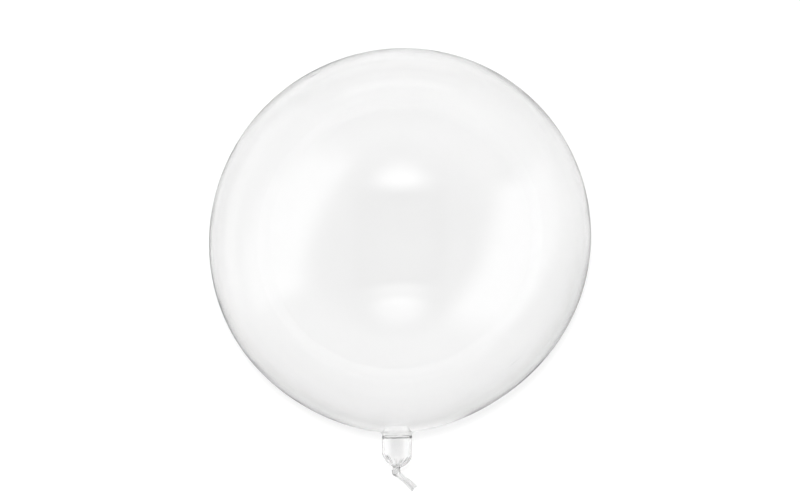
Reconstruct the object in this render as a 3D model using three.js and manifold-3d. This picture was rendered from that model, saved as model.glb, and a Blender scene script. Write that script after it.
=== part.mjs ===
// A clear bubble balloon, inflated and tied off, lying on its side.
// Lengths are in millimetres, and +Z is up.
//
// The film is one sealed piece: the ball, a short straight neck, the gathered and twisted end that closes
// it, and the pleated tail of film left beyond the twist. The crown points to +Y and the neck to -Y. The
// ball rests on a small flat spot at Z = 0, with the origin in the middle of that spot.

import * as THREE from 'three';
import { mergeVertices } from 'three/addons/utils/BufferGeometryUtils.js';
import Module from 'manifold-3d';

// Ball
const BALL_RADIUS = 200;
const NECK_PULL = 5.7; // the tied end draws the film beside the neck out by this much
const NECK_PULL_FOCUS = 11; // power of the pull: the higher, the closer to the neck it stays
const LOWER_FLATTENING = 2.7; // the lower half is flatter than a true ball by up to this much
const DIAGONAL_STRETCH = 0.0095; // the film gives this much more along one diagonal than across it
const FLAT_SPOT_RADIUS = 28;

// Neck
const NECK_RADIUS = 15.4;
const NECK_SHIFT = -1.2; // how far the neck sits to one side of the ball's own axis
const SHOULDER_RADIUS = 4.6; // fillet where the ball runs into the neck
const FOLD_HEIGHT = 0.5; // rounded fold that rings the top of the neck
const FOLD_LENGTH = 2.4;
const NECK_LENGTH = 19.4; // straight part, below the fillet

// Gathered end: a rounded bag that closes on a waist
const GATHER_LENGTH = 13.6;
const GATHER_ROUNDNESS = 1.6; // exponent of the bag's profile: 1 is a cone, 2 a half ellipsoid
const GATHER_SLANT = 0.12; // the bag reaches lower on one side, as a share of the distance across
const WAIST_RADIUS = 3.6;
const PLEAT_COUNT = 9;
const PLEAT_DEPTH = 0.16; // share of the radius, where the film is gathered tightest

// Twisted knuckle, then the flattened tail: [across, along, half width, half thickness] from the waist
const KNUCKLE = [
  [-0.3, -1.6, 4.0, 3.8],
  [-0.5, -3.6, 4.4, 4.0],
  [0.0, -5.6, 4.2, 3.2],
];
const TAIL = [
  [2.6, -8.3, 3.1, 2.2],
  [7.2, -12.4, 2.8, 1.8],
  [12.9, -17.0, 3.1, 1.8],
  [18.4, -22.6, 3.4, 1.9],
];
const KNUCKLE_TURNS = 0.35; // how far the pleats wind round the knuckle
const TAIL_STEPS = 12;

// Fineness
const SEGMENTS_AROUND = PLEAT_COUNT * 8;
const BALL_STEPS = 36;
const FILLET_STEPS = 4;
const FOLD_STEPS = 4;
const GATHER_STEPS = 8;

const BALL_CENTRE_HEIGHT = Math.sqrt(BALL_RADIUS ** 2 - FLAT_SPOT_RADIUS ** 2);
const FILLET_ARM = NECK_RADIUS + SHOULDER_RADIUS;
const FILLET_HYPOTENUSE = BALL_RADIUS + SHOULDER_RADIUS;
const NECK_TOP = Math.sqrt(FILLET_HYPOTENUSE ** 2 - FILLET_ARM ** 2);
const SHOULDER_ANGLE = Math.asin(FILLET_ARM / FILLET_HYPOTENUSE);

// A ring is one cross-section of the film. Its centre lies in the XY plane through the ball's centre, its
// width runs along `across`, and its thickness along Z.
function makeRing(centre, across, halfWidth, halfThickness, pleatDepth = 0, turn = 0) {
  return { centre, across, halfWidth, halfThickness, pleatDepth, turn };
}

function roundRing(along, radius, shift = NECK_SHIFT) {
  return makeRing(new THREE.Vector2(shift, along), new THREE.Vector2(1, 0), radius, radius);
}

function ballRings() {
  const rings = [];
  for (let step = 1; step <= BALL_STEPS; step += 1) {
    const angle = ((Math.PI - SHOULDER_ANGLE) * step) / BALL_STEPS;
    const along = BALL_RADIUS * Math.cos(angle);
    const towardsNeck = THREE.MathUtils.smoothstep(-along, 0, BALL_RADIUS);
    rings.push(roundRing(along, BALL_RADIUS * Math.sin(angle), NECK_SHIFT * towardsNeck));
  }
  return rings;
}

function filletRings() {
  const rings = [];
  for (let step = 1; step <= FILLET_STEPS; step += 1) {
    const angle = SHOULDER_ANGLE + ((Math.PI / 2 - SHOULDER_ANGLE) * step) / FILLET_STEPS;
    const along = -NECK_TOP + SHOULDER_RADIUS * Math.cos(angle);
    rings.push(roundRing(along, FILLET_ARM - SHOULDER_RADIUS * Math.sin(angle)));
  }
  return rings;
}

function foldRings() {
  const rings = [];
  for (let step = 1; step <= FOLD_STEPS; step += 1) {
    const share = step / FOLD_STEPS;
    const rise = FOLD_HEIGHT * Math.sin(Math.PI * share) ** 2;
    rings.push(roundRing(-NECK_TOP - FOLD_LENGTH * share, NECK_RADIUS + rise));
  }
  return rings;
}

function gatherRings() {
  const rings = [];
  for (let step = 0; step <= GATHER_STEPS; step += 1) {
    const share = Math.sin((Math.PI / 2) * (step / GATHER_STEPS));
    const bag = (1 - share ** GATHER_ROUNDNESS) ** (1 / GATHER_ROUNDNESS);
    const radius = Math.max(NECK_RADIUS * bag, WAIST_RADIUS);
    const along = -NECK_TOP - NECK_LENGTH - GATHER_LENGTH * share;
    const across = new THREE.Vector2(1, -GATHER_SLANT);
    const centre = new THREE.Vector2(NECK_SHIFT, along);
    rings.push(makeRing(centre, across, radius, radius, PLEAT_DEPTH * share ** 2, 0));
  }
  return rings;
}

// The knuckle and the tail follow a smooth curve. Rings stay square to it, and the pleats wind round the
// knuckle.
function tailRings() {
  const waist = new THREE.Vector2(NECK_SHIFT, -NECK_TOP - NECK_LENGTH - GATHER_LENGTH);
  const stations = [[0, 0, WAIST_RADIUS, WAIST_RADIUS], ...KNUCKLE, ...TAIL];
  const route = new THREE.SplineCurve(stations.map(([x, y]) => new THREE.Vector2(x, y).add(waist)));
  const sizes = new THREE.SplineCurve(
    stations.map(([, , halfWidth, halfThickness]) => new THREE.Vector2(halfWidth, halfThickness)),
  );
  const tailStart = (KNUCKLE.length + 1) / (stations.length - 1);
  const rings = [];
  for (let step = 1; step <= TAIL_STEPS; step += 1) {
    const share = step / TAIL_STEPS;
    const heading = route.getTangent(share);
    const across = new THREE.Vector2(-heading.y, heading.x);
    const size = sizes.getPoint(share);
    const turn = 2 * Math.PI * KNUCKLE_TURNS * Math.min(1, share / tailStart);
    rings.push(makeRing(route.getPoint(share), across, size.x, size.y, PLEAT_DEPTH, turn));
  }
  return rings;
}

function ringVertices(ring) {
  const vertices = [];
  for (let segment = 0; segment < SEGMENTS_AROUND; segment += 1) {
    const angle = (2 * Math.PI * segment) / SEGMENTS_AROUND;
    const pleat = 1 + ring.pleatDepth * Math.cos(PLEAT_COUNT * (angle + ring.turn));
    const sideways = ring.halfWidth * pleat * Math.cos(angle);
    vertices.push(new THREE.Vector3(
      ring.centre.x + ring.across.x * sideways,
      ring.centre.y + ring.across.y * sideways,
      ring.halfThickness * pleat * Math.sin(angle),
    ));
  }
  return vertices;
}

// Flattens the lower half, draws the film beside the neck out, then stretches the whole along one diagonal.
function settle(vertex) {
  const lower = THREE.MathUtils.clamp(-vertex.y / BALL_RADIUS, 0, 1);
  const along = vertex.y + LOWER_FLATTENING * lower ** 2 - NECK_PULL * lower ** NECK_PULL_FOCUS;
  const settledX = vertex.x + DIAGONAL_STRETCH * along;
  const settledY = along + DIAGONAL_STRETCH * vertex.x;
  return new THREE.Vector3(settledX, settledY, vertex.z + BALL_CENTRE_HEIGHT);
}

// Closes a row of rings into one body, with a point at each end.
function loftGeometry(start, rings, end) {
  const vertices = [start, ...rings.flatMap(ringVertices), end].map(settle);
  const lastVertex = vertices.length - 1;
  const triangles = [];
  for (let segment = 0; segment < SEGMENTS_AROUND; segment += 1) {
    const next = (segment + 1) % SEGMENTS_AROUND;
    triangles.push(0, 1 + next, 1 + segment);
    for (let row = 0; row < rings.length - 1; row += 1) {
      const upper = 1 + row * SEGMENTS_AROUND;
      const lower = upper + SEGMENTS_AROUND;
      triangles.push(upper + segment, upper + next, lower + segment);
      triangles.push(upper + next, lower + next, lower + segment);
    }
    const lastRow = 1 + (rings.length - 1) * SEGMENTS_AROUND;
    triangles.push(lastVertex, lastRow + segment, lastRow + next);
  }
  const coordinates = vertices.flatMap((vertex) => vertex.toArray());
  const geometry = new THREE.BufferGeometry();
  geometry.setAttribute('position', new THREE.Float32BufferAttribute(coordinates, 3));
  geometry.setIndex(triangles);
  return geometry;
}

function toSolid(wasm, geometry) {
  const bare = geometry.clone();
  bare.deleteAttribute('normal');
  bare.deleteAttribute('uv');
  const merged = mergeVertices(bare);
  return new wasm.Manifold(new wasm.Mesh({
    numProp: 3,
    vertProperties: new Float32Array(merged.attributes.position.array),
    triVerts: new Uint32Array(merged.index.array),
  }));
}

function toGeometry(solid) {
  const mesh = solid.getMesh();
  const geometry = new THREE.BufferGeometry();
  geometry.setAttribute('position', new THREE.Float32BufferAttribute(mesh.vertProperties, 3));
  geometry.setIndex(new THREE.Uint32BufferAttribute(mesh.triVerts, 1));
  geometry.computeVertexNormals();
  return geometry;
}

// Everything below the floor, which leaves the flat spot.
function belowFloorGeometry() {
  const side = 2 * BALL_RADIUS;
  const block = new THREE.BoxGeometry(side, side, side);
  block.translate(0, 0, -side / 2);
  return block;
}

function balloonGeometry(wasm) {
  const rings = [...ballRings(), ...filletRings(), ...foldRings(), ...gatherRings(), ...tailRings()];
  const crown = new THREE.Vector3(0, BALL_RADIUS, 0);
  const tailEnd = rings.at(-1).centre;
  const film = loftGeometry(crown, rings, new THREE.Vector3(tailEnd.x, tailEnd.y, 0));
  return toGeometry(toSolid(wasm, film).subtract(toSolid(wasm, belowFloorGeometry())));
}

const wasm = await Module();
wasm.setup();

const balloon = new THREE.Mesh(
  balloonGeometry(wasm),
  new THREE.MeshStandardMaterial({ color: 0xf4f6f7, roughness: 0.05, metalness: 0 }),
);
balloon.name = 'balloon';

const group = new THREE.Group();
group.add(balloon);

export default group;
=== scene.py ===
"""A clear bubble balloon, lying on its side on a pale floor and seen from straight above.

The visible film is one hollow, sealed mesh around the frame's `balloon` solid: the ball, the short neck, the
gathered bag, the twisted knuckle and the pleated tail, with an outer and an inner skin the film's thickness
apart. Lengths are in metres. The crown is at +Y, the neck at -Y, and the ball rests at Z = 0.
"""

import math
from typing import NamedTuple

import bpy
import numpy as np
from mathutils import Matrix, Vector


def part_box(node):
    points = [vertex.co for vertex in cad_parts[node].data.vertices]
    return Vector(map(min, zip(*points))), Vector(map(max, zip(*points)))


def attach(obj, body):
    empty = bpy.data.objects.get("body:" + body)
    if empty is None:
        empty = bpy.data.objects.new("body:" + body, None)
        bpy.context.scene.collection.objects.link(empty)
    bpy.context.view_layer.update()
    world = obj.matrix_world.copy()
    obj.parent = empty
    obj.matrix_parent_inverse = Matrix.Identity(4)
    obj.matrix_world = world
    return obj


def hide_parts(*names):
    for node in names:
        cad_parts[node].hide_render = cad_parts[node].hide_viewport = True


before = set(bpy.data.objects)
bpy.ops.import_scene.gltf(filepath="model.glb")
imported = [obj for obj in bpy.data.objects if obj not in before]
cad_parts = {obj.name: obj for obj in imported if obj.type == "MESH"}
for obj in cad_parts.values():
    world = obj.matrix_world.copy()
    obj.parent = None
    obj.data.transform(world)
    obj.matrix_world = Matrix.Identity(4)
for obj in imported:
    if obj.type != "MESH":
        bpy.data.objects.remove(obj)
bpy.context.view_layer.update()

MM = 0.001

# ---- Sizes --------------------------------------------------------------------------------------------

# Ball
_, balloon_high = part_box("balloon")
BALL_RADIUS = balloon_high.y
CENTRE_HEIGHT = balloon_high.z - BALL_RADIUS
NECK_PULL = 5.7 * MM  # the tied end draws the film beside the neck out by this much
NECK_PULL_FOCUS = 11  # power of the pull: the higher, the closer to the neck it stays
LOWER_FLATTENING = 2.7 * MM  # the lower half is flatter than a true ball by up to this much
DIAGONAL_STRETCH = 0.0095  # the film gives this much more along one diagonal than across it
FLAT_SOFTNESS = 0.25 * MM  # how gently the ball runs into its flat spot

# Walls, between the outer and the inner skin
FILM_THICKNESS = 0.25 * MM
NECK_WALL = 1.9 * MM
FOLD_WALL = 0.5 * MM  # what the fold at the top of the neck adds at its middle
TAIL_WALL = 0.4 * MM

# Neck
NECK_RADIUS = 15.4 * MM
NECK_SHIFT = -1.2 * MM  # how far the neck sits to one side of the ball's own axis
SHOULDER_RADIUS = 4.6 * MM  # fillet where the ball runs into the neck
FOLD_HEIGHT = 0.5 * MM
FOLD_LENGTH = 2.4 * MM
NECK_LENGTH = 19.4 * MM  # straight part with its fold, below the fillet

# Gathered bag that closes on a waist
GATHER_LENGTH = 13.6 * MM
GATHER_ROUNDNESS = 1.6  # exponent of the bag's profile: 1 is a cone, 2 a half ellipsoid
GATHER_SLANT = 0.12  # the bag reaches lower on one side, as a share of the distance across
WAIST_RADIUS = 3.4 * MM

# Twisted knuckle, then the tail: [across, along, half width, half thickness] in millimetres from the waist
KNUCKLE = [
    (-0.3, -1.6, 3.8, 3.6),
    (-0.5, -3.6, 4.2, 3.8),
    (0.0, -5.6, 4.0, 3.0),
]
TAIL = [
    (2.6, -8.3, 2.9, 2.1),
    (7.2, -12.4, 2.6, 1.7),
    (12.9, -17.0, 2.9, 1.7),
    (18.4, -22.6, 3.2, 1.8),
]
KNUCKLE_TURNS = 0.55  # how far the pleats wind round the knuckle

# Pleats. Depths are shares of the radius, where the film is gathered tightest.
PLEAT_COUNT = 9
PLEAT_DEPTH = 0.26
KNUCKLE_PLEAT_DEPTH = 0.12
PLEAT_FULLNESS = 0.8  # exponent of a pleat's profile: below 1 is fuller
PLEAT_OFFSET = 1.3  # sets how much of a pleat lies inside the plain ring
WAIST_REACH = 0.12  # share of the knuckle and tail over which the waist's deep pleats ease off
LOOSE_REACH = 0.25  # share of them over which the tail comes loose beyond the knuckle
SHOULDER_PLEAT = 0.35 * MM  # depth of the pleats that run from the neck up into the ball
SHOULDER_PLEAT_REACH = 14.0 * MM

# Waves around a ring: [count, size, phase]
PLEAT_UNEVENNESS = [(2, 0.35, 0.8), (5, 0.25, 2.1)]
TAIL_FOLDS = [(1.5, 0.8, 0.4), (2.5, 0.5, 1.9)]
TAIL_FOLD_OFFSET = 0.8
TAIL_FOLD_DEPTH = 0.09
FRAY_WAVES = [(2, 1.0, 0.7), (5, 0.6, 0.0), (11, 0.4, 2.0)]
FRAY_START = 0.75  # share of the knuckle and tail where the end starts to fray
TAIL_END_FRAY = 0.25 * MM

# Fineness
SEGMENTS = PLEAT_COUNT * 24
BALL_STEPS = 110
FILLET_STEPS = 10
FOLD_STEPS = 12
NECK_STEPS = 6
GATHER_STEPS = 30
TAIL_STEPS = 80
TAIL_HOLLOW_STEPS = 44  # how many of them are open inside, from the end up
SEALED_STEPS = 2  # rings at the waist where the film is pressed shut

# ---- Film finish --------------------------------------------------------------------------------------

# A crease is its compass direction, its distance from the ball's upright axis, its length and its width.
CREASES = [
    (-47, 168 * MM, 22 * MM, 1.3 * MM),
    (190.7, 196.5 * MM, 9 * MM, 0.9 * MM),
    (199.8, 196.0 * MM, 11 * MM, 0.9 * MM),
    (204.9, 195.5 * MM, 8 * MM, 0.8 * MM),
    (118, 188 * MM, 10 * MM, 1.0 * MM),
]
CREASE_HEIGHT = 0.12 * MM
SPECK_SPACING = 60 * MM
SPECK_GAPS = 0.5  # share of the places for a speck that are left empty
SPECK_RADIUS = 1.1 * MM
SPECK_HEIGHT = 0.3 * MM
SPECK_ROUGHNESS = 0.3
WAVE_SIZE = 110 * MM
WAVE_HEIGHT = 0.3 * MM
RIPPLE_SIZE = 16 * MM
RIPPLE_HEIGHT = 0.008 * MM
NOISE_DETAIL = 2.0
TINT_SIZE = 90 * MM
TINT_LEVELS = [(0.3, 0.984), (0.7, 0.996)]  # [noise, lightness]
FILM_IOR = 1.5
FILM_DENSITY = 12.0  # grey taken up for each metre of film
# What the film lets through of the floor's light: [facing, share], from head on to edge on
SHADOW_CLEAR_TO_EDGE = [
    (0, 0.985), (0.2, 0.98), (0.4, 0.96), (0.56, 0.94), (0.72, 0.92), (0.8, 0.91), (1, 0.9),
]

# ---- Studio, as brightness by direction. Angles are in degrees. ---------------------------------------

# DOME: angle from straight up, brightness
DOME = [
    (0, 0.22), (41, 0.22), (53, 0.29), (60, 0.4), (67, 0.48), (81, 0.52), (89, 0.56), (97, 0.6), (106, 0.64),
    (116, 0.68), (130, 0.68), (140, 0.6), (150, 0.56), (156, 0.55), (162, 0.56), (170, 0.54), (180, 0.5),
]
# PANELS: range sideways, range forward, slant, softness of the four edges, brightness. The first is the dark
# place straight overhead.
PANELS = [
    ((-26, 26), (-26, 26), 0.0, (6, 6, 6, 6), 0.05),
    ((-92, -68), (-20, 34), 0.36, (20, 22, 12, 24), 0.96),
    ((68, 94), (-36, 20), 0.36, (22, 22, 24, 12), 1.0),
]
LOW_GAIN = 0.3  # how much brighter a panel is below the horizon
LOW_START, LOW_FULL = 84, 98  # angles from straight up between which it becomes so
# WINDOWS: forward angle of the middle, reach sideways, towards straight up and away from it, brightness
WINDOWS = [
    (31.5, 28, 6, 16, 0.92),
    (-39.5, 30, 7, 20, 1.25),
]
WINDOW_FULL = 0.2  # share of a window's reach within which it is at full brightness
# PATCHES: (compass, half width, softness), (lowest and highest angle from straight up, softness), gain
PATCHES = [
    ((-75, 50, 40), (100, 140, 12), 0.05),
    ((-38, 24, 18), (152, 180, 12), 0.4),
    ((-72, 16, 14), (157, 180, 8), 1.5),
    ((-138, 20, 20), (152, 180, 12), 0.5),
    ((52, 8, 14), (150, 178, 8), 0.5),
    ((128, 8, 12), (152, 174, 8), 0.7),
    ((92, 16, 10), (104.5, 108.5, 3), 1.5),
    ((95, 14, 14), (125, 131, 4), 1.25),
    ((165, 26, 14), (118, 124, 7), 1.3),
]
FILL_STRENGTH = 1.9
FILL_ANGLE = 120
KEY_PLACE = (-0.02, 0.094, 2.5)
KEY_SIZE = 0.12
KEY_WATTS = 40.2

FLOOR_REACH = 6.0
FLOOR_DROP = 0.3 * MM  # keeps the floor clear of the flat spot
FLOOR_LIGHTNESS = 0.9

# Light bounces, enough to see through every wall of the knuckle and the tail
FILM_BOUNCES = 32
MIRROR_BOUNCES = 16

# Camera: straight above, the ball's crown towards the top of the picture
CAMERA_DISTANCE = 2.2
CAMERA_SENSOR = 36.0
FRAME_WIDTH = 0.841
CAMERA_AIM_Y = -0.0129


# ---- Film surface -------------------------------------------------------------------------------------

FILLET_ARM = NECK_RADIUS + SHOULDER_RADIUS
FILLET_HYPOTENUSE = BALL_RADIUS + SHOULDER_RADIUS
NECK_TOP = math.sqrt(FILLET_HYPOTENUSE**2 - FILLET_ARM**2)
SHOULDER_ANGLE = math.asin(FILLET_ARM / FILLET_HYPOTENUSE)


class Ring(NamedTuple):
    """One cross-section of the film. Its width runs along `across`, and its thickness along Z."""

    x: float
    y: float
    half_width: float
    half_thickness: float
    wall: float
    across_x: float = 1.0
    across_y: float = 0.0
    depth: float = 0.0  # of the pleats, as a share of the radius
    turn: float = 0.0  # how far the pleats have wound round, in radians
    fold: float = 0.0  # depth of the tail's folds, as a share of the radius
    fray: float = 0.0  # how far the waves of the torn end reach along the tail


def round_ring(along, radius, wall, depth=0.0, shift=NECK_SHIFT, slant=0.0):
    return Ring(shift, along, radius, radius, wall, across_y=-slant, depth=depth)


def smoothstep(low, high, value):
    share = np.clip((value - low) / (high - low), 0.0, 1.0)
    return share * share * (3.0 - 2.0 * share)


def shoulder_depth(radius):
    """Relative depth of the small pleats that run from the neck up into the ball."""
    return SHOULDER_PLEAT / radius * math.exp((FILLET_ARM - radius) / SHOULDER_PLEAT_REACH)


def ball_rings():
    for step in range(1, BALL_STEPS + 1):
        angle = (math.pi - SHOULDER_ANGLE) * step / BALL_STEPS
        along = BALL_RADIUS * math.cos(angle)
        radius = BALL_RADIUS * math.sin(angle)
        shift = NECK_SHIFT * float(smoothstep(0.0, BALL_RADIUS, -along))
        depth = shoulder_depth(radius) if along < 0 else 0.0
        yield round_ring(along, radius, FILM_THICKNESS, depth, shift)


def fillet_rings():
    for step in range(1, FILLET_STEPS + 1):
        angle = SHOULDER_ANGLE + (math.pi / 2 - SHOULDER_ANGLE) * step / FILLET_STEPS
        radius = FILLET_ARM - SHOULDER_RADIUS * math.sin(angle)
        along = SHOULDER_RADIUS * math.cos(angle) - NECK_TOP
        yield round_ring(along, radius, FILM_THICKNESS, shoulder_depth(FILLET_ARM))


def fold_rings():
    """The rounded fold that rings the top of the neck, where the wall thickens to the neck's."""
    for step in range(1, FOLD_STEPS + 1):
        share = step / FOLD_STEPS
        swell = math.sin(math.pi * share) ** 2
        radius = NECK_RADIUS + FOLD_HEIGHT * swell
        wall = FILM_THICKNESS + (NECK_WALL - FILM_THICKNESS) * share + FOLD_WALL * swell
        depth = shoulder_depth(FILLET_ARM) * (1.0 - share)
        yield round_ring(-NECK_TOP - FOLD_LENGTH * share, radius, wall, depth)


def neck_rings():
    start = NECK_TOP + FOLD_LENGTH
    for step in range(1, NECK_STEPS):
        share = step / NECK_STEPS
        along = -start - (NECK_LENGTH - FOLD_LENGTH) * share
        yield round_ring(along, NECK_RADIUS, NECK_WALL, slant=GATHER_SLANT * share)


def gather_rings():
    for step in range(GATHER_STEPS + 1):
        share = math.sin(math.pi / 2 * step / GATHER_STEPS)
        bag = (1.0 - share**GATHER_ROUNDNESS) ** (1.0 / GATHER_ROUNDNESS)
        radius = math.hypot(NECK_RADIUS * bag, WAIST_RADIUS * share**4)
        along = -NECK_TOP - NECK_LENGTH - GATHER_LENGTH * share
        yield round_ring(along, radius, NECK_WALL, PLEAT_DEPTH * share**2, slant=GATHER_SLANT)


def spline(points, share):
    """Point and heading at a share of the way along a uniform Catmull-Rom curve."""
    points = np.array(points, float)
    last = len(points) - 1
    place = min(share * last, last - 1e-9)  # just inside the last stretch
    start = int(place)
    t = place - start
    p1, p2 = points[start], points[start + 1]
    p0 = points[start - 1] if start > 0 else p1
    p3 = points[start + 2] if start + 2 <= last else p2
    v1, v2 = (p2 - p0) / 2, (p3 - p1) / 2
    point = (2 * t**3 - 3 * t**2 + 1) * p1 + (t**3 - 2 * t**2 + t) * v1
    point += (3 * t**2 - 2 * t**3) * p2 + (t**3 - t**2) * v2
    heading = (6 * t**2 - 6 * t) * (p1 - p2) + (3 * t**2 - 4 * t + 1) * v1 + (3 * t**2 - 2 * t) * v2
    return point, heading


def tail_rings():
    """The knuckle and the tail. Rings stay square to their route, and the pleats wind round the knuckle."""
    stations = [(0.0, 0.0, WAIST_RADIUS / MM, WAIST_RADIUS / MM), *KNUCKLE, *TAIL]
    tail_start = (len(KNUCKLE) + 1) / (len(stations) - 1)
    waist_y = -NECK_TOP - NECK_LENGTH - GATHER_LENGTH
    for step in range(1, TAIL_STEPS + 1):
        share = step / TAIL_STEPS
        point, heading = spline(stations, share)
        heading = heading[:2] / np.linalg.norm(heading[:2])
        x, y, half_width, half_thickness = point * MM
        loose = float(smoothstep(tail_start, tail_start + LOOSE_REACH, share))
        waist = 1.0 - float(smoothstep(0.0, WAIST_REACH, share))
        yield Ring(
            NECK_SHIFT + x,
            waist_y + y,
            half_width,
            half_thickness,
            TAIL_WALL,
            across_x=-heading[1],
            across_y=heading[0],
            depth=KNUCKLE_PLEAT_DEPTH + (PLEAT_DEPTH - KNUCKLE_PLEAT_DEPTH) * max(waist, loose),
            turn=2 * math.pi * KNUCKLE_TURNS * min(1.0, share / tail_start),
            fold=TAIL_FOLD_DEPTH * loose,
            fray=TAIL_END_FRAY * float(smoothstep(FRAY_START, 1.0, share)),
        )


def waves(terms, angle, ridged=False):
    """Sum of waves around a ring. Ridged ones have round ridges, two for each count, and sharp valleys."""
    total = 0.0
    for count, size, phase in terms:
        wave = np.cos(count * angle + phase)
        total = total + size * (np.abs(wave) if ridged else wave)
    return total


def ring_points(rings):
    """The outer skin as a grid of points, one row for each ring."""
    ring = Ring(*np.array(rings).T[:, :, None])
    angle = 2 * math.pi * np.arange(SEGMENTS)[None, :] / SEGMENTS
    wound = angle + ring.turn
    lobe = np.abs(np.cos(PLEAT_COUNT * wound / 2)) ** PLEAT_FULLNESS
    pleat = 1.0 + ring.depth * (1.0 + waves(PLEAT_UNEVENNESS, wound)) * (2.0 * lobe - PLEAT_OFFSET)
    pleat = pleat + ring.fold * (waves(TAIL_FOLDS, angle, ridged=True) - TAIL_FOLD_OFFSET)
    sideways = ring.half_width * pleat * np.cos(angle)
    forward = ring.fray * waves(FRAY_WAVES, angle)
    grid_x = ring.x + ring.across_x * sideways + ring.across_y * forward
    grid_y = ring.y + ring.across_y * sideways - ring.across_x * forward
    grid_z = ring.half_thickness * pleat * np.sin(angle)
    return np.stack([grid_x, grid_y, grid_z], axis=-1)


def settle(points):
    """Flattens the lower half, draws the neck out, stretches along one diagonal and sets the whole down."""
    lower = np.clip(-points[..., 1] / BALL_RADIUS, 0.0, 1.0)
    along = points[..., 1] + LOWER_FLATTENING * lower**2 - NECK_PULL * lower**NECK_PULL_FOCUS
    x = points[..., 0] + DIAGONAL_STRETCH * along
    y = along + DIAGONAL_STRETCH * points[..., 0]
    z = points[..., 2] + CENTRE_HEIGHT
    z = (z + np.sqrt(z * z + FLAT_SOFTNESS**2)) / 2
    return np.stack([x, y, z], axis=-1)


def outward(grid):
    """Unit normals of a grid of rings, pointing out of the film."""
    round_step = np.roll(grid, -1, axis=1) - np.roll(grid, 1, axis=1)
    along_step = np.gradient(grid, axis=0)
    normal = np.cross(round_step, along_step)
    return normal / np.linalg.norm(normal, axis=-1, keepdims=True)


def last_middle(grid):
    """The middle of a grid's last ring, where its skin closes."""
    return grid[-1].mean(axis=0)


def grid_faces(first, rows, flip=False):
    """Quads of a grid of rings whose first point has number `first`."""
    faces = []
    for row in range(rows - 1):
        upper = first + row * SEGMENTS
        lower = upper + SEGMENTS
        for segment in range(SEGMENTS):
            after = (segment + 1) % SEGMENTS
            face = (upper + segment, upper + after, lower + after, lower + segment)
            faces.append(face[::-1] if flip else face)
    return faces


def fan_faces(tip, first, flip=False):
    """Triangles from a tip point to the ring that starts at point `first`."""
    faces = []
    for segment in range(SEGMENTS):
        after = (segment + 1) % SEGMENTS
        face = (tip, first + after, first + segment)
        faces.append(face[::-1] if flip else face)
    return faces


def film_mesh():
    """The outer skin, which turns in at the tail's end as a sleeve, and the skin of the sealed cavity."""
    body = [*ball_rings(), *fillet_rings(), *fold_rings(), *neck_rings(), *gather_rings()]
    rings = body + list(tail_rings())
    walls = np.array([ring.wall for ring in rings])[:, None, None]
    outer = settle(ring_points(rings))
    inner = outer - outward(outer) * walls
    cavity = inner[: len(body) - SEALED_STEPS]
    sleeve = inner[-TAIL_HOLLOW_STEPS:][::-1]
    crown = settle(np.array([0.0, BALL_RADIUS, 0.0]))
    inner_crown = crown - np.array([0.0, FILM_THICKNESS, 0.0])

    skins = [crown, outer, sleeve, last_middle(sleeve), inner_crown, cavity, last_middle(cavity)]
    blocks = [skin.reshape(-1, 3) for skin in skins]
    firsts = [sum(len(block) for block in blocks[:number]) for number in range(len(blocks))]
    crown_out, outer_first, _, sleeve_tip, crown_in, cavity_first, cavity_tip = firsts

    faces = fan_faces(crown_out, outer_first)
    faces += grid_faces(outer_first, len(outer) + len(sleeve))
    faces += fan_faces(sleeve_tip, sleeve_tip - SEGMENTS, flip=True)
    faces += fan_faces(crown_in, cavity_first, flip=True)
    faces += grid_faces(cavity_first, len(cavity), flip=True)
    faces += fan_faces(cavity_tip, cavity_tip - SEGMENTS)

    mesh = bpy.data.meshes.new("balloon_film")
    mesh.from_pydata(np.concatenate(blocks).tolist(), [], faces)
    mesh.shade_smooth()
    mesh.validate()
    return mesh


# ---- Nodes --------------------------------------------------------------------------------------------

def ramp_node(tree, value, stops):
    """A colour ramp from [(position, grey level)], fed by a socket."""
    node = tree.nodes.new("ShaderNodeValToRGB")
    elements = node.color_ramp.elements
    elements[0].position, elements[1].position = stops[0][0], stops[-1][0]
    elements[0].color = (stops[0][1],) * 3 + (1,)
    elements[1].color = (stops[-1][1],) * 3 + (1,)
    for place, level in stops[1:-1]:
        elements.new(place).color = (level,) * 3 + (1,)
    tree.links.new(value, node.inputs["Fac"])
    return node.outputs["Color"]


def math_node(tree, operation, *values):
    node = tree.nodes.new("ShaderNodeMath")
    node.operation = operation
    for socket, value in zip(node.inputs, values):
        if isinstance(value, (int, float)):
            socket.default_value = value
        else:
            tree.links.new(value, socket)
    return node.outputs["Value"]


def ease(tree, value, start, end):
    """0 at the start, 1 at the end and a smooth step between."""
    node = tree.nodes.new("ShaderNodeMapRange")
    node.interpolation_type = "SMOOTHSTEP"
    node.inputs["From Min"].default_value = start
    node.inputs["From Max"].default_value = end
    tree.links.new(value, node.inputs["Value"])
    return node.outputs["Result"]


def split_node(tree, vector):
    """The x, y and z of a vector."""
    node = tree.nodes.new("ShaderNodeSeparateXYZ")
    tree.links.new(vector, node.inputs["Vector"])
    return node.outputs


def noise(tree, place, size):
    node = tree.nodes.new("ShaderNodeTexNoise")
    node.inputs["Scale"].default_value = 1 / size
    node.inputs["Detail"].default_value = NOISE_DETAIL
    tree.links.new(place, node.inputs["Vector"])
    return node.outputs["Fac"]


def towards(tree, x, y, compass):
    """How far a point, or a direction, goes towards a compass direction in degrees."""
    away = math.radians(compass)
    return math_node(tree, "MULTIPLY_ADD", x, math.cos(away), math_node(tree, "MULTIPLY", y, math.sin(away)))


# ---- Material -----------------------------------------------------------------------------------------

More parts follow.
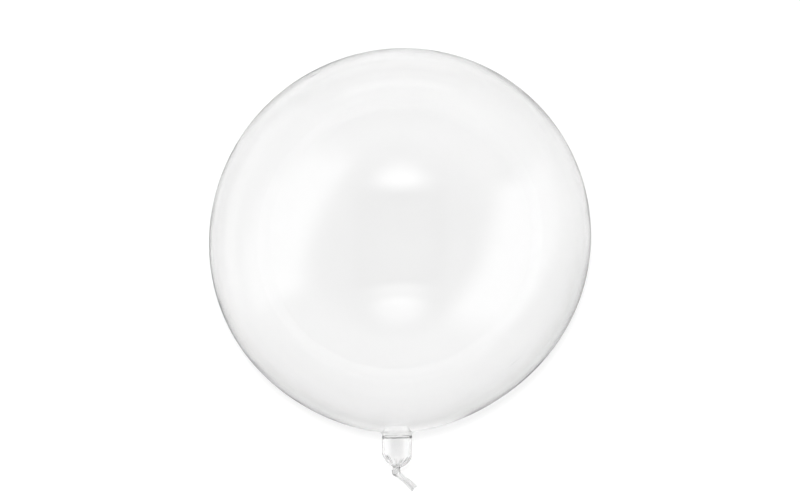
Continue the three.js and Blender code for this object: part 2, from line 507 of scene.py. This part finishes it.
def film_creases(tree, place):
    """Short raised creases on the upper side of the ball: 1 along the middle of each."""
    x, y, z = split_node(tree, place)
    total = 0.0
    upper = math_node(tree, "GREATER_THAN", z, CENTRE_HEIGHT)
    for compass, from_axis, length, width in CREASES:
        outward_part = towards(tree, x, y, compass)
        beside_part = towards(tree, x, y, compass + 90)
        off_line = math_node(tree, "ABSOLUTE", math_node(tree, "SUBTRACT", outward_part, from_axis))
        along = ease(tree, math_node(tree, "ABSOLUTE", beside_part), length / 2, 0.0)
        mask = math_node(tree, "MULTIPLY", ease(tree, off_line, width, 0.0), along)
        total = math_node(tree, "MULTIPLY_ADD", mask, upper, total)
    return total


def film_specks(tree, place):
    """Sparse round specks, where the film was moulded or touched: 1 in the middle of each."""
    cells = tree.nodes.new("ShaderNodeTexVoronoi")
    cells.inputs["Scale"].default_value = 1 / SPECK_SPACING
    tree.links.new(place, cells.inputs["Vector"])
    dot = ease(tree, cells.outputs["Distance"], SPECK_RADIUS / SPECK_SPACING, 0.0)
    split = tree.nodes.new("ShaderNodeSeparateColor")
    tree.links.new(cells.outputs["Color"], split.inputs["Color"])
    present = math_node(tree, "GREATER_THAN", split.outputs["Red"], SPECK_GAPS)
    return math_node(tree, "MULTIPLY", dot, present)


def film_relief(tree, place, specks):
    """Bump of the film: broad waves, fine ripples, creases and specks, as a normal."""
    height = math_node(tree, "MULTIPLY", noise(tree, place, WAVE_SIZE), WAVE_HEIGHT)
    height = math_node(tree, "MULTIPLY_ADD", noise(tree, place, RIPPLE_SIZE), RIPPLE_HEIGHT, height)
    height = math_node(tree, "MULTIPLY_ADD", specks, SPECK_HEIGHT, height)
    height = math_node(tree, "MULTIPLY_ADD", film_creases(tree, place), CREASE_HEIGHT, height)
    bump = tree.nodes.new("ShaderNodeBump")
    bump.inputs["Strength"].default_value = 1.0
    bump.inputs["Distance"].default_value = 1.0
    tree.links.new(height, bump.inputs["Height"])
    return bump.outputs["Normal"]


def film_shadow(tree):
    """What the film lets through of the light on its way to the floor: clear head on, dimmer edge on."""
    facing = tree.nodes.new("ShaderNodeLayerWeight")
    facing.inputs["Blend"].default_value = 0.5
    shade = tree.nodes.new("ShaderNodeBsdfTransparent")
    tree.links.new(ramp_node(tree, facing.outputs["Facing"], SHADOW_CLEAR_TO_EDGE), shade.inputs["Color"])
    return shade.outputs["BSDF"]


def film_material():
    """Clear glossy film: faintly uneven, thickest and greyest where it is gathered."""
    material = bpy.data.materials.new("clear_film")
    material.use_nodes = True
    tree = material.node_tree
    tree.nodes.clear()

    place = tree.nodes.new("ShaderNodeTexCoord").outputs["Object"]
    specks = film_specks(tree, place)
    film = tree.nodes.new("ShaderNodeBsdfPrincipled")
    film.inputs["Transmission Weight"].default_value = 1.0
    film.inputs["IOR"].default_value = FILM_IOR
    tint = ramp_node(tree, noise(tree, place, TINT_SIZE), TINT_LEVELS)
    tree.links.new(tint, film.inputs["Base Color"])
    tree.links.new(math_node(tree, "MULTIPLY", specks, SPECK_ROUGHNESS), film.inputs["Roughness"])
    tree.links.new(film_relief(tree, place, specks), film.inputs["Normal"])

    path = tree.nodes.new("ShaderNodeLightPath")
    mix = tree.nodes.new("ShaderNodeMixShader")
    out = tree.nodes.new("ShaderNodeOutputMaterial")
    tree.links.new(path.outputs["Is Shadow Ray"], mix.inputs["Fac"])
    tree.links.new(film.outputs["BSDF"], mix.inputs[1])
    tree.links.new(film_shadow(tree), mix.inputs[2])
    tree.links.new(mix.outputs["Shader"], out.inputs["Surface"])

    body = tree.nodes.new("ShaderNodeVolumeAbsorption")
    body.inputs["Color"].default_value = (0, 0, 0, 1)
    body.inputs["Density"].default_value = FILM_DENSITY
    tree.links.new(body.outputs["Volume"], out.inputs["Volume"])
    return material


def make_film():
    film = bpy.data.objects.new("balloon_film", film_mesh())
    bpy.context.collection.objects.link(film)
    film.data.materials.append(film_material())
    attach(film, "root")
    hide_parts("balloon")


# ---- Stage --------------------------------------------------------------------------------------------

def floor_paint():
    paint = bpy.data.materials.new("floor_paint")
    paint.use_nodes = True
    shader = paint.node_tree.nodes["Principled BSDF"]
    shader.inputs["Base Color"].default_value = (FLOOR_LIGHTNESS,) * 3 + (1,)
    shader.inputs["Roughness"].default_value = 1.0
    shader.inputs["Specular IOR Level"].default_value = 0.0
    return paint


def make_floor():
    """A wide pale floor. The film doesn't mirror it."""
    mesh = bpy.data.meshes.new("floor")
    corners = [(-1, -1), (1, -1), (1, 1), (-1, 1)]
    points = [(x * FLOOR_REACH, y * FLOOR_REACH, -FLOOR_DROP) for x, y in corners]
    mesh.from_pydata(points, [], [(0, 1, 2, 3)])
    mesh.materials.append(floor_paint())
    floor = bpy.data.objects.new("floor", mesh)
    bpy.context.collection.objects.link(floor)
    floor.visible_glossy = False


def hidden_lamp(name, kind, strength):
    """A lamp that lights the floor, and that neither the camera nor the film sees."""
    data = bpy.data.lights.new(name, kind)
    data.energy = strength
    lamp = bpy.data.objects.new(name, data)
    bpy.context.collection.objects.link(lamp)
    lamp.visible_camera = False
    lamp.visible_glossy = False
    lamp.visible_transmission = False
    return lamp


def make_lamps():
    """A small key lamp near the camera, and a wide overhead fill that keeps the whole floor pale."""
    key = hidden_lamp("key", "AREA", KEY_WATTS)
    key.data.size = KEY_SIZE
    key.location = KEY_PLACE
    fill = hidden_lamp("fill", "SUN", FILL_STRENGTH)
    fill.data.angle = math.radians(FILL_ANGLE)
    fill.data.cycles.use_multiple_importance_sampling = False


def band(tree, angle, low, high, soft_low, soft_high):
    """1 between two angles in degrees, easing to 0 over the soft degrees outside them."""
    rise = ease(tree, angle, math.radians(low - soft_low), math.radians(low))
    fall = ease(tree, angle, math.radians(high + soft_high), math.radians(high))
    return math_node(tree, "MULTIPLY", rise, fall)


def blend_level(tree, level, mask, brightness):
    change = math_node(tree, "SUBTRACT", brightness, level)
    return math_node(tree, "MULTIPLY_ADD", change, mask, level)


def add_panel(tree, level, from_top, sideways, forward, panel):
    """A soft-edged slanting rectangle of light, brighter below the horizon."""
    (left, right), (back, front), slant, softness, brightness = panel
    low_part = ease(tree, from_top, math.radians(LOW_START), math.radians(LOW_FULL))
    brightness = math_node(tree, "MULTIPLY_ADD", low_part, brightness * LOW_GAIN, brightness)
    leaning = math_node(tree, "MULTIPLY_ADD", forward, -slant, sideways)
    across = band(tree, leaning, left, right, softness[0], softness[1])
    along = band(tree, forward, back, front, softness[2], softness[3])
    return blend_level(tree, level, math_node(tree, "MULTIPLY", across, along), brightness)


def add_window(tree, level, sideways, forward, window):
    """An oval light with a crisp edge on its side towards straight up and a soft one away from it."""
    middle, reach_side, reach_up, reach_away, brightness = window
    side = math.copysign(1.0, middle)
    ahead = math_node(tree, "MULTIPLY_ADD", forward, side, -math.radians(abs(middle)))
    away = math_node(tree, "DIVIDE", math_node(tree, "MAXIMUM", ahead, 0.0), math.radians(reach_away))
    up = math_node(tree, "DIVIDE", math_node(tree, "MINIMUM", ahead, 0.0), math.radians(reach_up))
    along = math_node(tree, "ADD", away, up)
    across = math_node(tree, "DIVIDE", sideways, math.radians(reach_side))
    square = math_node(tree, "MULTIPLY_ADD", across, across, math_node(tree, "MULTIPLY", along, along))
    mask = ease(tree, math_node(tree, "SQRT", square), 1.0, WINDOW_FULL)
    return blend_level(tree, level, mask, brightness)


def add_patch(tree, level, x, y, from_top, patch):
    """Brightens or darkens the part of the dome around one compass direction."""
    (compass, half_width, side_softness), (low, high, softness), gain = patch
    level_part = math_node(tree, "DIVIDE", towards(tree, x, y, compass), math_node(tree, "SINE", from_top))
    beside = math_node(tree, "ARCCOSINE", level_part)
    around = ease(tree, beside, math.radians(half_width + side_softness), math.radians(half_width))
    mask = math_node(tree, "MULTIPLY", around, band(tree, from_top, low, high, softness, softness))
    return math_node(tree, "MULTIPLY", level, math_node(tree, "MULTIPLY_ADD", mask, gain - 1.0, 1.0))


def make_world():
    """The studio: a soft dome, a dark place overhead, a lit panel on each side and two oval windows.

    It is seen through the film and mirrored in it, but doesn't light the floor.
    """
    world = bpy.data.worlds.new("studio")
    bpy.context.scene.world = world
    world.cycles_visibility.diffuse = False
    world.use_nodes = True
    tree = world.node_tree
    tree.nodes.clear()

    x, y, z = split_node(tree, tree.nodes.new("ShaderNodeTexCoord").outputs["Generated"])
    from_top = math_node(tree, "ARCCOSINE", z)
    sideways = math_node(tree, "ARCTAN2", x, z)
    forward = math_node(tree, "ARCSINE", y)

    turn = math_node(tree, "DIVIDE", from_top, math.pi)
    level = ramp_node(tree, turn, [(degrees / 180, grey) for degrees, grey in DOME])
    for patch in PATCHES:
        level = add_patch(tree, level, x, y, from_top, patch)
    for panel in PANELS:
        level = add_panel(tree, level, from_top, sideways, forward, panel)
    for window in WINDOWS:
        level = add_window(tree, level, sideways, forward, window)

    studio = tree.nodes.new("ShaderNodeBackground")
    out = tree.nodes.new("ShaderNodeOutputWorld")
    tree.links.new(level, studio.inputs["Color"])
    tree.links.new(studio.outputs["Background"], out.inputs["Surface"])


def make_camera():
    data = bpy.data.cameras.new("camera")
    data.sensor_width = CAMERA_SENSOR
    data.lens = CAMERA_SENSOR * CAMERA_DISTANCE / FRAME_WIDTH
    camera = bpy.data.objects.new("camera", data)
    bpy.context.collection.objects.link(camera)
    camera.location = (0.0, CAMERA_AIM_Y, CENTRE_HEIGHT + CAMERA_DISTANCE)
    camera.rotation_euler = (0.0, 0.0, 0.0)
    bpy.context.scene.camera = camera


def set_light_paths():
    """Plain colours, no caustics, and enough bounces for clear film behind clear film."""
    scene = bpy.context.scene
    scene.view_settings.view_transform = "Standard"
    scene.cycles.caustics_reflective = False
    scene.cycles.caustics_refractive = False
    scene.cycles.max_bounces = FILM_BOUNCES
    scene.cycles.glossy_bounces = MIRROR_BOUNCES
    scene.cycles.transmission_bounces = FILM_BOUNCES
    scene.cycles.transparent_max_bounces = FILM_BOUNCES


make_camera()
make_film()
make_floor()
make_lamps()
make_world()
set_light_paths()
